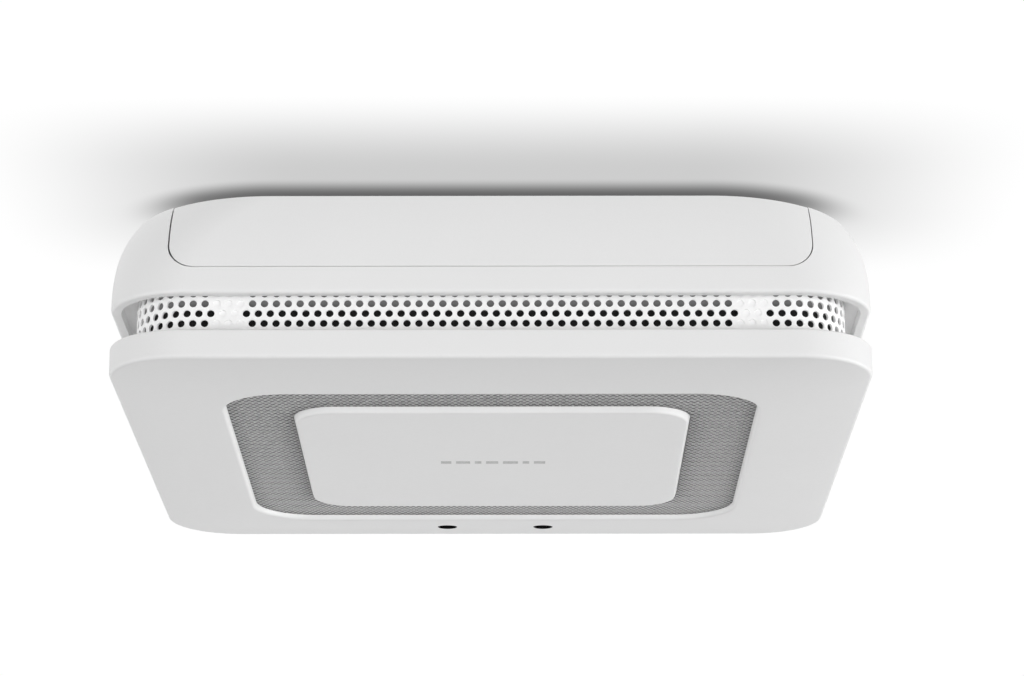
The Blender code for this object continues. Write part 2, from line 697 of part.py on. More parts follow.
def make_button_spring(name, x, y, steel):
    low = BUTTON_INSIDE + 0.2
    high = CHASSIS_BOTTOM - 0.2
    spring = coil(name, 2.2, 0.2, 3.0, low, high, Matrix.Translation((x, y, 0.0)))
    return finish(spring, steel)


def make_light_pipe(name, x, dark):
    profile = [(0.0, -23.8), (1.8, -23.8), (1.8, -34.8), (1.5, -34.95), (0.0, -34.95)]
    return finish(lathe(name, profile, (x, PORT_Y, 0.0), steps=24), dark, False)


def make_housing_screw(name, x, y, steel):
    profile = [
        (0.0, -16.1), (1.1, -16.1), (1.1, -15.4), (2.4, -15.4), (2.8, -15.8), (2.8, -16.9),
        (1.3, -16.9), (1.3, -27.3), (0.5, -28.1), (0.0, -28.1),
    ]
    return finish(lathe(name, profile, (x, y, 0.0), steps=20), steel, False)


def make_board_screw(name, x, y, steel):
    profile = [
        (0.0, -19.6), (0.6, -19.6), (0.6, -19.3), (1.7, -19.3), (1.9, -19.5), (1.9, -20.3),
        (0.8, -20.3), (0.8, -29.0), (0.0, -29.6),
    ]
    return finish(lathe(name, profile, (x, y, 0.0), steps=16), steel, False)


def make_detector_body():
    """Everything that swings down with the body; returns the name of each piece."""
    before = set(DETECTOR.objects)
    white = new_material("shell_white", (0.80, 0.80, 0.80), 0.42)
    make_rear_housing(white)
    make_front_frame(new_material("frame_white", (0.82, 0.82, 0.82), 0.38))
    make_vent_ring(new_material("vent_white", (0.82, 0.82, 0.82), 0.5))
    make_vent_screen(new_material("screen_black", (0.03, 0.03, 0.03), 0.8))
    make_grille_mesh(new_material("mesh_grey", (0.35, 0.35, 0.35), 0.5, 0.3))
    make_inner_chassis(new_material("chassis_grey", (0.15, 0.15, 0.16), 0.55))
    sleeve = new_material("cell_sleeve", (0.12, 0.16, 0.2), 0.35)
    plated = new_material("contact_nickel", (0.7, 0.68, 0.64), 0.3, 1.0)
    for side, word in ((-1, "left"), (1, "right")):
        make_cell(f"battery_cell_inner_{word}", side * CELL_X[0], -1, sleeve)
        make_cell(f"battery_cell_outer_{word}", side * CELL_X[1], 1, sleeve)
        make_bridge(f"battery_bridge_{word}", side, plated)
        make_spring_contact(f"battery_spring_contact_{word}", side * CELL_X[0], plated)
        make_flat_contact(f"battery_flat_contact_{word}", side * CELL_X[1], plated)
    make_main_board(new_material("board_green", (0.03, 0.16, 0.07), 0.4))
    black = new_material("component_black", (0.03, 0.03, 0.03), 0.45)
    steel = new_material("screw_steel", (0.55, 0.55, 0.55), 0.3, 1.0)
    tin = new_material("shield_tin", (0.62, 0.62, 0.6), 0.35, 1.0)
    ceramic = new_material("ceramic_white", (0.75, 0.75, 0.72), 0.4)
    make_board_parts(black, tin, plated, ceramic, new_material("can_aluminium", (0.7, 0.7, 0.7), 0.3, 1.0))
    dark = new_material("smoked_lens", (0.05, 0.05, 0.05), 0.12)
    make_chamber(
        new_material("chamber_black", (0.02, 0.02, 0.02), 0.7),
        new_material("insect_screen_steel", (0.35, 0.35, 0.35), 0.4, 1.0),
        new_material("lens_clear", (0.6, 0.65, 0.8), 0.1),
        dark,
    )
    make_siren(
        new_material("horn_black", (0.05, 0.05, 0.05), 0.5),
        new_material("brass", (0.7, 0.5, 0.2), 0.3, 1.0),
    )
    for word, x in (("left", -PORT_X), ("right", PORT_X)):
        make_light_pipe(f"light_pipe_{word}", x, dark)
    low = BOARD_BOTTOM - 0.3
    left = (-PORT_X - 1.6, -PORT_X + 1.6)
    right = (PORT_X - 1.0, PORT_X + 1.0)
    finish(box("status_led", left, (61.8, 63.6), (low - 0.8, low)), ceramic, False)
    finish(box("light_sensor", right, (61.7, 63.7), (low - 0.7, low)), black, False)
    spots = [(x, y) for y in (-1, 1) for x in (-1, 1)]
    for index, (x, y) in enumerate(spots, 1):
        make_housing_screw(f"housing_screw_{index}", x * HOUSING_SCREW, y * HOUSING_SCREW, steel)
        make_board_screw(f"board_screw_{index}", x * BOARD_SCREW, y * BOARD_SCREW, steel)
        spring = f"button_spring_{index}"
        make_button_spring(spring, x * BUTTON_SPRING, y * BUTTON_SPRING, steel)
    make_switch(black, ceramic)
    make_button_pad(new_material("button_white", (0.80, 0.80, 0.80), 0.4))
    return sorted(set(DETECTOR.objects) - before, key=lambda thing: thing.name)


def hang_on(parent, pieces):
    """Parents pieces to a joint without moving them."""
    bpy.context.view_layer.update()
    for piece in pieces:
        piece.parent = parent
        piece.matrix_parent_inverse = parent.matrix_world.inverted()


def main():
    plastic = new_material("plate_white", (0.78, 0.78, 0.78), 0.5)
    plate = make_ceiling_plate(plastic)
    flap = make_release_flap(new_material("flap_white", (0.80, 0.80, 0.80), 0.42))
    pieces = make_detector_body()
    bpy.context.view_layer.update()
    for piece in (plate, *pieces):
        if not any(step.type == "SCREW" for step in piece.modifiers):
            centre_origin(piece)
    set_origin(flap, (0.0, FLAP_PIN_Y, FLAP_PIN_Z))
    hinge = bpy.data.objects.new("body_hinge", None)
    hinge.location = Vector((0.0, HINGE_Y, HINGE_Z)) * MM
    hinge.empty_display_size = 0.01
    DETECTOR.objects.link(hinge)
    hang_on(plate, [flap, hinge])
    hang_on(hinge, pieces)
    for piece in (plate, flap, *pieces):
        hang_on(piece, [step.object for step in piece.modifiers if step.type == "BOOLEAN"])


clear_scene()
DETECTOR = new_collection("smoke_detector")
TOOLS = new_collection("cutters")
TOOLS.hide_render = True
main()
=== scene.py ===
"""Looks of the square ceiling smoke detector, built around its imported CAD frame.

The ceiling is z = 0 and the detector hangs below it, its release flap facing -Y. Lengths in this script are
millimetres unless a name says otherwise; object_of() turns them into metres.
"""

import math

import bmesh
import bpy
from mathutils import Matrix, Vector


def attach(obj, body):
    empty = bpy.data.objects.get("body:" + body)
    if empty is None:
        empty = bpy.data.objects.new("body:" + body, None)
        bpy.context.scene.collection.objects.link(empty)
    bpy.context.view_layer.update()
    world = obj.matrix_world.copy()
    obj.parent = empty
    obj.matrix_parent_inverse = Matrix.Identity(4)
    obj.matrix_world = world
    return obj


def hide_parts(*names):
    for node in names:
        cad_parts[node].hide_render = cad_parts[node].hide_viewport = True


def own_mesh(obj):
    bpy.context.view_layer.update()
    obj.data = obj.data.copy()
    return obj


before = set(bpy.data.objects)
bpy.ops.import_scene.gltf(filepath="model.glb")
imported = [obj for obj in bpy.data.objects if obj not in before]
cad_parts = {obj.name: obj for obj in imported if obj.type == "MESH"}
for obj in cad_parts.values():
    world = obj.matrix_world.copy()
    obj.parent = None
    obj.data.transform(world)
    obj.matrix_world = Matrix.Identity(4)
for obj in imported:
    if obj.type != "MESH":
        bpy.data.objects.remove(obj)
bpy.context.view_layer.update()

MM = 0.001

# Segments in a quarter of a rounded corner
FINE = 28

# Places and sizes that follow the CAD
BODY_HALF = 75.0
BODY_CORNER = 15.6
CEILING_HALF = 72.3
CEILING_CORNER = 30.0
TAPER_POWER = 2.8
CORNER_POWER = 1.85
WALL = 2.0
HOUSING_TOP = -0.1
HOUSING_LIP = -21.0
HOUSING_FLOOR = -17.2
FLOOR_UNDERSIDE = -18.8
FRAME_LIP = -28.2
FRAME_EDGE = -34.1
FRAME_RIM = -35.62
TONGUE_X = 40.0
FLAP_HALF = 62.7
FLAP_BOTTOM = -15.6
FLAP_CORNER = 5.0
FLAP_TOP = -0.4
FLAP_PIN_Y = -67.5
FLAP_PIN_Z = -4.2
LATCH_X = 22.0
CELL_X = (30.9, 46.3)
BAY_HALF_LENGTH = 29.4
VENT_HALF = 70.0
VENT_CORNER = 12.0
OPENING_HALF = 53.7
OPENING_CORNER = 13.0
BUTTON_HALF = 40.1
BUTTON_CORNER = 8.5
BUTTON_FACE = -35.78
BUTTON_INSIDE = -34.4
BUTTON_RIM = -33.0
BUTTON_SPRING = 33.0
CHASSIS_BOTTOM = -31.8
PORT_X = 11.0
PORT_Y = 62.7
HOUSING_SCREW = 57.0
COIL_RADIUS = 2.2
COIL_WIRE = 0.2
COIL_TURNS = 3

# Finer than in the CAD: the gaps around the flap, the holes and the thin walls that have them
FLAP_SIDE_GAP = 0.24
FLAP_FOOT_GAP = 0.1
FLAP_ASIDE = 0.06
VENT_TOP = -18.85
VENT_BOTTOM = -28.15
VENT_WALL = 0.45
VENT_HOLE = 0.74
VENT_COLUMNS = 233
VENT_ROWS = ((-19.65, 0.0), (-21.65, 0.0), (-23.65, 0.5), (-25.65, 0.0))
GRILLE_BOTTOM = -34.44
GRILLE_TOP = -34.04
GRILLE_PITCH = 1.315
GRILLE_HOLE = 0.47
GRILLE_CLEARANCE = 0.46
PORT_RADIUS = 2.3
MARK_WIDTHS = (2.2, 3.0, 1.4, 2.6, 3.2, 1.4, 2.4)
MARK_GAP = 1.0

# Light of the surroundings
BASE_LEVEL = 0.24
BAND_LEVEL = 2.8
BAND_HEIGHT = -0.24
BAND_WIDTH = 0.2
BAND_MIDDLE = 0.87
BAND_RIGHT = 0.26
BAND_SIDES = 0.4
BAND_FAR_LOSS = 0.4
TOP_LEVEL = 0.8
BACKDROP_LEVEL = 0.95


def add_object(name, data):
    thing = bpy.data.objects.new(name, data)
    bpy.context.scene.collection.objects.link(thing)
    return thing


def evaluated_mesh(thing):
    bpy.context.view_layer.update()
    graph = bpy.context.evaluated_depsgraph_get()
    return bpy.data.meshes.new_from_object(thing.evaluated_get(graph))


# ---------------------------------------------------------------- materials


def nodes_of(name):
    material = bpy.data.materials.new(name)
    material.use_nodes = True
    tree = material.node_tree
    return material, tree, tree.nodes["Principled BSDF"]


def put(tree, kind, **settings):
    node = tree.nodes.new(kind)
    for key, value in settings.items():
        setattr(node, key, value)
    return node


def axes(tree, source="Object"):
    """The x, y and z of a texture coordinate."""
    where = put(tree, "ShaderNodeTexCoord")
    split = put(tree, "ShaderNodeSeparateXYZ")
    tree.links.new(where.outputs[source], split.inputs["Vector"])
    return split.outputs["X"], split.outputs["Y"], split.outputs["Z"]


def noise(tree, scale, detail=2.0, roughness=0.5):
    where = put(tree, "ShaderNodeTexCoord")
    texture = put(tree, "ShaderNodeTexNoise")
    texture.inputs["Scale"].default_value = scale
    texture.inputs["Detail"].default_value = detail
    texture.inputs["Roughness"].default_value = roughness
    tree.links.new(where.outputs["Object"], texture.inputs["Vector"])
    return texture.outputs["Fac"]


def fade(tree, value, start, end, smooth=True):
    """0 at start, 1 at end."""
    node = put(tree, "ShaderNodeMapRange", interpolation_type="SMOOTHSTEP" if smooth else "LINEAR")
    node.inputs["From Min"].default_value = start
    node.inputs["From Max"].default_value = end
    tree.links.new(value, node.inputs["Value"])
    return node.outputs["Result"]


def ramp(tree, value, low, high):
    """Carries a noise value, which lies mostly between 0.3 and 0.7, to a range."""
    scale = put(tree, "ShaderNodeMapRange")
    scale.inputs["From Min"].default_value = 0.3
    scale.inputs["From Max"].default_value = 0.7
    scale.inputs["To Min"].default_value = low
    scale.inputs["To Max"].default_value = high
    tree.links.new(value, scale.inputs["Value"])
    return scale.outputs["Result"]


def value_maths(tree, operation, *values):
    node = put(tree, "ShaderNodeMath", operation=operation)
    for socket, value in zip(node.inputs, values):
        if isinstance(value, bpy.types.NodeSocket):
            tree.links.new(value, socket)
        else:
            socket.default_value = value
    return node.outputs[0]


def mix_colours(tree, factor, first, second):
    mix = put(tree, "ShaderNodeMix", data_type="RGBA")
    tree.links.new(factor, mix.inputs["Factor"])
    for socket, colour in ((mix.inputs[6], first), (mix.inputs[7], second)):
        if isinstance(colour, bpy.types.NodeSocket):
            tree.links.new(colour, socket)
        else:
            socket.default_value = (*colour, 1.0)
    return mix.outputs[2]


def shade(colour, factor):
    return tuple(channel * factor for channel in colour)


def add_bump(tree, shader, height, strength, depth, edge):
    """A bump of some depth in millimetres over a rounded edge of some radius in millimetres."""
    bump = put(tree, "ShaderNodeBump")
    bump.inputs["Strength"].default_value = strength
    bump.inputs["Distance"].default_value = depth * MM
    tree.links.new(height, bump.inputs["Height"])
    if edge:
        bevel = put(tree, "ShaderNodeBevel", samples=4)
        bevel.inputs["Radius"].default_value = edge * MM
        tree.links.new(bevel.outputs["Normal"], bump.inputs["Normal"])
    tree.links.new(bump.outputs["Normal"], shader.inputs["Normal"])


def plastic(name, colour, roughness, grain=0.006, pitch=1.0, edge=0.12, mottle=0.012):
    """Moulded plastic: faint flow marks, a fine spark-eroded grain and softened edges."""
    material, tree, shader = nodes_of(name)
    cloud = ramp(tree, noise(tree, 45.0, 3.0), 0.0, 1.0)
    speck = ramp(tree, noise(tree, 3200.0 / pitch, 1.0), 0.0, 1.0)
    base = mix_colours(tree, cloud, shade(colour, 1.0 - mottle), shade(colour, 1.0 + mottle))
    tint = mix_colours(tree, speck, shade(colour, 0.985), shade(colour, 1.01))
    both = put(tree, "ShaderNodeMix", data_type="RGBA")
    both.inputs["Factor"].default_value = 0.5
    tree.links.new(base, both.inputs[6])
    tree.links.new(tint, both.inputs[7])
    tree.links.new(both.outputs[2], shader.inputs["Base Color"])
    rough = ramp(tree, noise(tree, 900.0, 2.0), roughness - 0.04, roughness + 0.04)
    tree.links.new(rough, shader.inputs["Roughness"])
    add_bump(tree, shader, noise(tree, 2600.0 / pitch, 3.0, 0.6), 0.6, grain, edge)
    return material


def metal(name, colour, roughness, brush=(1.0, 1.0, 1.0), edge=0.05, stain=0.12):
    """Drawn or plated metal with fine lines along one direction and a little staining."""
    material, tree, shader = nodes_of(name)
    shader.inputs["Metallic"].default_value = 1.0
    where = put(tree, "ShaderNodeTexCoord")
    stretch = put(tree, "ShaderNodeMapping")
    stretch.inputs["Scale"].default_value = brush
    tree.links.new(where.outputs["Object"], stretch.inputs["Vector"])
    lines = put(tree, "ShaderNodeTexNoise")
    lines.inputs["Scale"].default_value = 1800.0
    lines.inputs["Detail"].default_value = 3.0
    tree.links.new(stretch.outputs["Vector"], lines.inputs["Vector"])
    spots = ramp(tree, noise(tree, 160.0, 4.0), 0.0, 1.0)
    base = mix_colours(tree, spots, shade(colour, 1.0 - stain), colour)
    tree.links.new(base, shader.inputs["Base Color"])
    rough = ramp(tree, lines.outputs["Fac"], roughness - 0.07, roughness + 0.09)
    tree.links.new(rough, shader.inputs["Roughness"])
    add_bump(tree, shader, lines.outputs["Fac"], 0.4, 0.004, edge)
    return material


def sheet_with_painted_shade(name, near, far):
    """Painted perforated sheet with painted shade and light: a little darker on its near side, lighter
    towards its far side, and darker close to the walls beside it.
    """
    material, tree, shader = nodes_of(name)
    _, y, _ = axes(tree)
    # Painted shade and light: a straight ramp from the darker near grey to the lighter far grey across the
    # sheet.
    paint_and_shade = mix_colours(tree, fade(tree, y, -0.05, 0.05, smooth=False), near, far)
    speck = ramp(tree, noise(tree, 1500.0, 2.0), 0.0, 1.0)
    paint_and_shade = mix_colours(tree, speck, paint_and_shade, shade(far, 1.1))
    # Painted shade: an occlusion mask darkens the sheet towards half its near grey where the walls and the
    # button close in over it.
    open_sky = put(tree, "ShaderNodeAmbientOcclusion", samples=6)
    open_sky.inputs["Distance"].default_value = 0.003
    free = fade(tree, open_sky.outputs["AO"], 0.5, 0.9, smooth=False)
    paint_and_shade = mix_colours(tree, free, shade(near, 0.5), paint_and_shade)
    tree.links.new(paint_and_shade, shader.inputs["Base Color"])
    shader.inputs["Metallic"].default_value = 0.3
    tree.links.new(ramp(tree, noise(tree, 700.0), 0.44, 0.56), shader.inputs["Roughness"])
    add_bump(tree, shader, noise(tree, 1800.0, 3.0), 0.4, 0.006, 0.0)
    return material


def circuit(name, colour):
    """Solder mask over tracks and a copper pour, with the glass weave just showing."""
    material, tree, shader = nodes_of(name)
    where = put(tree, "ShaderNodeTexCoord")
    tracks = put(tree, "ShaderNodeTexBrick")
    tracks.offset = 0.37
    tracks.squash = 1.6
    tracks.inputs["Scale"].default_value = 150.0
    tracks.inputs["Mortar Size"].default_value = 0.035
    tracks.inputs["Mortar Smooth"].default_value = 0.4
    tracks.inputs["Color1"].default_value = (*colour, 1.0)
    tracks.inputs["Color2"].default_value = (*shade(colour, 0.86), 1.0)
    tracks.inputs["Mortar"].default_value = (*shade(colour, 1.5), 1.0)
    tree.links.new(where.outputs["Object"], tracks.inputs["Vector"])
    weave = ramp(tree, noise(tree, 900.0, 2.0), 0.0, 1.0)
    over = mix_colours(tree, weave, shade(colour, 0.9), tracks.outputs["Color"])
    tree.links.new(over, shader.inputs["Base Color"])
    shader.inputs["Roughness"].default_value = 0.32
    shader.inputs["Coat Weight"].default_value = 0.4
    add_bump(tree, shader, tracks.outputs["Fac"], 0.5, 0.03, 0.1)
    return material


def cell_sleeve(name):
    """Printed battery sleeve: a dark middle, lighter bands and bare metal towards both ends."""
    material, tree, shader = nodes_of(name)
    _, y, _ = axes(tree)
    along = value_maths(tree, "ABSOLUTE", y)
    band = value_maths(tree, "GREATER_THAN", along, 0.0165)
    base = mix_colours(tree, band, (0.035, 0.045, 0.06), (0.45, 0.30, 0.13))
    tip = value_maths(tree, "GREATER_THAN", along, 0.0245)
    ends = mix_colours(tree, tip, base, (0.55, 0.54, 0.52))
    wear = ramp(tree, noise(tree, 300.0, 4.0), 0.0, 1.0)
    final = put(tree, "ShaderNodeMix", data_type="RGBA", blend_type="MULTIPLY")
    tree.links.new(ends, final.inputs[6])
    tree.links.new(mix_colours(tree, wear, (0.85, 0.85, 0.85), (1.0, 1.0, 1.0)), final.inputs[7])
    final.inputs["Factor"].default_value = 1.0
    tree.links.new(final.outputs[2], shader.inputs["Base Color"])
    tree.links.new(ramp(tree, noise(tree, 700.0), 0.22, 0.34), shader.inputs["Roughness"])
    tree.links.new(tip, shader.inputs["Metallic"])
    add_bump(tree, shader, noise(tree, 500.0, 3.0), 0.4, 0.02, 0.2)
    return material


def cloth(name, colour):
    """Woven screen cloth, paler along its upper edge, where light comes through."""
    material, tree, shader = nodes_of(name)
    where = put(tree, "ShaderNodeTexCoord")
    threads = put(tree, "ShaderNodeTexVoronoi")
    threads.inputs["Scale"].default_value = 2200.0
    tree.links.new(where.outputs["Object"], threads.inputs["Vector"])
    weave = mix_colours(tree, threads.outputs["Distance"], shade(colour, 0.5), shade(colour, 1.6))
    _, _, z = axes(tree)
    pale = fade(tree, z, -0.0228, -0.0205)
    tree.links.new(mix_colours(tree, pale, weave, (0.13, 0.13, 0.13)), shader.inputs["Base Color"])
    shader.inputs["Emission Color"].default_value = (1.0, 1.0, 1.0, 1.0)
    tree.links.new(value_maths(tree, "MULTIPLY", pale, 0.09), shader.inputs["Emission Strength"])
    shader.inputs["Roughness"].default_value = 0.85
    add_bump(tree, shader, threads.outputs["Distance"], 0.8, 0.1, 0.0)
    return material


def lens(name, colour, roughness, clear, gloss=0.5):
    """Moulded resin, partly clear, with slight swirls."""
    material, tree, shader = nodes_of(name)
    swirl = ramp(tree, noise(tree, 420.0, 3.0), 0.0, 1.0)
    base = mix_colours(tree, swirl, shade(colour, 0.8), shade(colour, 1.15))
    tree.links.new(base, shader.inputs["Base Color"])
    shader.inputs["Roughness"].default_value = roughness
    shader.inputs["Transmission Weight"].default_value = clear
    shader.inputs["Specular IOR Level"].default_value = gloss
    add_bump(tree, shader, noise(tree, 900.0), 0.3, 0.01, 0.1)
    return material


def make_materials():
    white = (0.80, 0.80, 0.80)
    return {
        "plate_white": plastic("plate_white", (0.76, 0.76, 0.755), 0.5, 0.01),
        "flap_white": plastic("flap_white", white, 0.42),
        "shell_white": plastic("shell_white", white, 0.42),
        "frame_white": plastic("frame_white", white, 0.4),
        "button_white": plastic("button_white", white, 0.4),
        # The vent ring's white is paler than the other whites: painted light on the vent band.
        "vent_white": plastic("vent_white", (0.96, 0.96, 0.96), 0.45, 0.004, 1.0, 0.05),
        "screen_black": cloth("screen_black", (0.012, 0.012, 0.012)),
        # The darker near grey and the lighter far grey of the grille are painted shade and painted light.
        "mesh_grey": sheet_with_painted_shade("mesh_grey", (0.33, 0.33, 0.33), (0.53, 0.53, 0.53)),
        "chassis_grey": plastic("chassis_grey", (0.16, 0.16, 0.17), 0.55, 0.012, 1.3),
        "board_green": circuit("board_green", (0.02, 0.13, 0.055)),
        "cell_sleeve": cell_sleeve("cell_sleeve"),
        "contact_nickel": metal("contact_nickel", (0.72, 0.69, 0.64), 0.3, (1.0, 0.1, 1.0)),
        "screw_steel": metal("screw_steel", (0.55, 0.55, 0.56), 0.3, (1.0, 1.0, 0.2)),
        "component_black": plastic("component_black", (0.03, 0.03, 0.032), 0.42, 0.01, 0.7, 0.15, 0.12),
        "shield_tin": metal("shield_tin", (0.62, 0.62, 0.60), 0.34, (1.0, 0.15, 1.0)),
        "ceramic_white": plastic("ceramic_white", (0.72, 0.72, 0.69), 0.35, 0.004, 0.6, 0.1, 0.04),
        "can_aluminium": metal("can_aluminium", (0.70, 0.70, 0.71), 0.28, (1.0, 1.0, 0.15)),
        "chamber_black": plastic("chamber_black", (0.018, 0.018, 0.019), 0.75, 0.03, 1.6, 0.15, 0.15),
        "insect_screen_steel": metal("insect_screen_steel", (0.35, 0.35, 0.35), 0.4),
        "lens_clear": lens("lens_clear", (0.62, 0.68, 0.85), 0.12, 0.6),
        "smoked_lens": lens("smoked_lens", (0.008, 0.008, 0.008), 0.3, 0.0, 0.0),
        "horn_black": plastic("horn_black", (0.05, 0.05, 0.05), 0.5, 0.012, 1.2, 0.2, 0.1),
        "brass": metal("brass", (0.72, 0.52, 0.22), 0.3, (1.0, 0.2, 1.0), 0.05, 0.2),
    }


# ---------------------------------------------------------------- shapes


def outline(half_x, half_y, radius, centre=(0.0, 0.0), steps=FINE):
    """The points of a round-cornered rectangle."""
    points = []
    for turn, (side_x, side_y) in enumerate(((1, 1), (-1, 1), (-1, -1), (1, -1))):
        for step in range(steps + 1):
            angle = math.radians(90.0 * (turn + step / steps))
            x = side_x * (half_x - radius) + radius * math.cos(angle)
            y = side_y * (half_y - radius) + radius * math.sin(angle)
            points.append((centre[0] + x, centre[1] + y))
    return points


def object_of(name, shape):
    bmesh.ops.scale(shape, vec=(MM, MM, MM), verts=shape.verts)
    bmesh.ops.recalc_face_normals(shape, faces=shape.faces)
    mesh = bpy.data.meshes.new(name)
    shape.to_mesh(mesh)
    shape.free()
    return add_object(name, mesh)


def skin(name, sections, ring=False):
    """A body through round-cornered squares, each given as half width, corner radius and height."""
    shape = bmesh.new()
    loops = []
    for half, radius, height in sections:
        loops.append([shape.verts.new((x, y, height)) for x, y in outline(half, half, radius)])
    pairs = list(zip(loops, loops[1:]))
    if ring:
        pairs.append((loops[-1], loops[0]))
    for low, high in pairs:
        for a in range(len(low)):
            b = (a + 1) % len(low)
            shape.faces.new((low[a], low[b], high[b], high[a]))
    if not ring:
        shape.faces.new(loops[0])
        shape.faces.new(loops[-1])
    return object_of(name, shape)


def slab(name, outlines, low, high, turn=Matrix.Identity(4)):
    """A plate of even thickness; outlines inside another outline are openings."""
    curve = bpy.data.curves.new(name, "CURVE")
    curve.dimensions = "2D"
    curve.fill_mode = "BOTH"
    curve.extrude = (high - low) / 2.0 * MM
    for points in outlines:
        spline = curve.splines.new("POLY")
        spline.points.add(len(points) - 1)
        for point, (x, y) in zip(spline.points, points):
            point.co = (x * MM, y * MM, 0.0, 1.0)
        spline.use_cyclic_u = True
    holder = add_object(name, curve)
    holder.matrix_world = turn @ Matrix.Translation((0.0, 0.0, (low + high) / 2.0 * MM))
    mesh = evaluated_mesh(holder)
    mesh.transform(holder.matrix_world)
    bpy.data.objects.remove(holder)
    shape = bmesh.new()
    shape.from_mesh(mesh)
    bmesh.ops.remove_doubles(shape, verts=shape.verts, dist=1e-6)
    bmesh.ops.recalc_face_normals(shape, faces=shape.faces)
    shape.to_mesh(mesh)
    shape.free()
    return add_object(name, mesh)


def put_box(shape, x, y, z):
    size = Matrix.Diagonal((x[1] - x[0], y[1] - y[0], z[1] - z[0], 1.0))
    middle = Matrix.Translation(((x[0] + x[1]) / 2.0, (y[0] + y[1]) / 2.0, (z[0] + z[1]) / 2.0))
    bmesh.ops.create_cube(shape, size=1.0, matrix=middle @ size)


def put_rod(shape, radius, centre, low, high, axis="Z", segments=32):
    """A rod along Z, with its centre as (x, y), or along X, with its centre as (y, z)."""
    middle = (low + high) / 2.0
    if axis == "Z":
        matrix = Matrix.Translation((centre[0], centre[1], middle))
    else:
        matrix = Matrix.Translation((middle, centre[0], centre[1])) @ Matrix.Rotation(math.pi / 2.0, 4, "Y")
    bmesh.ops.create_cone(
        shape,
        cap_ends=True,
        segments=segments,
        radius1=radius,
        radius2=radius,
        depth=high - low,
        matrix=matrix,
    )


def combine(target, tool, operation):
    """Applies a Boolean and discards the tool."""
    step = target.modifiers.new("combine", "BOOLEAN")
    step.operation = operation
    step.solver = "EXACT"
    step.object = tool
    mesh = evaluated_mesh(target)
    target.modifiers.clear()
    target.data = mesh
    bpy.data.objects.remove(tool)


def cut(target, tool):
    combine(target, tool, "DIFFERENCE")


def join(target, tool):
    combine(target, tool, "UNION")


def show(thing, body, slot, *stands_for, angle=32.0, weighted=True):
    """Finishes a piece: smooth shading, its material, its body and the CAD nodes it stands for."""
    thing.data.materials.clear()
    thing.data.materials.append(MATERIALS[slot])
    thing.data.shade_smooth()
    thing.data.set_sharp_from_angle(angle=math.radians(angle))
    if weighted:
        even = thing.modifiers.new("even_shading", "WEIGHTED_NORMAL")
        even.keep_sharp = True
    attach(thing, body)
    if stands_for:
        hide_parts(*stands_for)


def quarter(radius, steps, start, end):
    """Offsets along an arc, as inset and drop, between two angles in degrees."""
    turns = [math.radians(start + (end - start) * step / steps) for step in range(steps + 1)]
    return [(radius * (1.0 - math.cos(a)), radius * (1.0 - math.sin(a))) for a in turns]


def body_section(height, inwards=0.0):
    """The outline of the curved housing at a height."""
    rise = max(0.0, min(1.0, (height - HOUSING_LIP) / -HOUSING_LIP))
    half = BODY_HALF - (BODY_HALF - CEILING_HALF) * rise**TAPER_POWER
    corner = BODY_CORNER + (CEILING_CORNER - BODY_CORNER) * rise**CORNER_POWER
    return half - inwards, corner - inwards, height


def outer_form(name):
    radius = 0.7
    sections = []
    for inset, drop in reversed(quarter(radius, 6, 0.0, 90.0)):
        sections.append((BODY_HALF - inset, BODY_CORNER - inset, HOUSING_LIP + drop))
    levels = 36
    rise = HOUSING_TOP - HOUSING_LIP - radius
    for step in range(1, levels + 1):
        sections.append(body_section(HOUSING_LIP + radius + rise * step / levels))
    return skin(name, sections)


def inner_form(name, floor):
    rise = 2.0 - floor
    return skin(name, [body_section(floor + rise * step / 12.0, WALL) for step in range(13)])


def flap_prism(name, share):
    """The outline of the flap through the near wall, larger or smaller by a share of the gap around it."""
    top = 10.0
    bottom = FLAP_BOTTOM - share * FLAP_FOOT_GAP
    half = FLAP_HALF + share * FLAP_SIDE_GAP
    aside = 0.0 if share > 0.0 else FLAP_ASIDE
    points = outline(half, (top - bottom) / 2.0, FLAP_CORNER, (aside, (top + bottom) / 2.0))
    return slab(name, [points], 55.0, 85.0, Matrix.Rotation(math.pi / 2.0, 4, "X"))


def make_housing():
    housing = outer_form("rear_housing_shell")
    cut(housing, inner_form("inside", HOUSING_FLOOR))
    half = BODY_HALF - WALL
    recess = outline(half, half, BODY_CORNER - WALL)
    cut(housing, slab("recess", [recess], HOUSING_LIP - 2.0, FLOOR_UNDERSIDE))
    cut(housing, flap_prism("notch", 0.5))
    rebate = bmesh.new()
    put_box(rebate, (-58.6, 58.6), (-74.7, -72.0), (-17.0, -15.0))
    cut(housing, object_of("rebate", rebate))
    windows = bmesh.new()
    for side in (-1, 1):
        put_box(windows, (side * TONGUE_X - 5.6, side * TONGUE_X + 5.6), (66.0, 80.0), (-4.7, -1.6))
    cut(housing, object_of("windows", windows))
    bays = []
    low_x, high_x = 21.9, 55.3
    for side in (-1, 1):
        centre = (side * (low_x + high_x) / 2.0, 0.0)
        width = (high_x - low_x) / 2.0
        bays.append(outline(width, BAY_HALF_LENGTH + 1.2, 1.6, centre, 6))
        bays.append(outline(width - 1.2, BAY_HALF_LENGTH, 0.5, centre, 6))
    join(housing, slab("bays", bays, HOUSING_FLOOR - 0.5, -7.4))
    holes = bmesh.new()
    for x in (-HOUSING_SCREW, HOUSING_SCREW):
        for y in (-HOUSING_SCREW, HOUSING_SCREW):
            put_rod(holes, 1.7, (x, y), -20.0, -16.0)
    for side in (-1, 1):
        put_box(holes, (side * LATCH_X - 5.0, side * LATCH_X + 5.0), (-66.2, -62.7), (-20.0, -16.0))
        for x in CELL_X:
            put_box(holes, (side * x - 1.5, side * x + 1.5), (27.7, 29.2), (-20.0, -16.0))
    cut(housing, object_of("holes", holes))
    show(housing, "detector_body", "shell_white", "rear_housing")


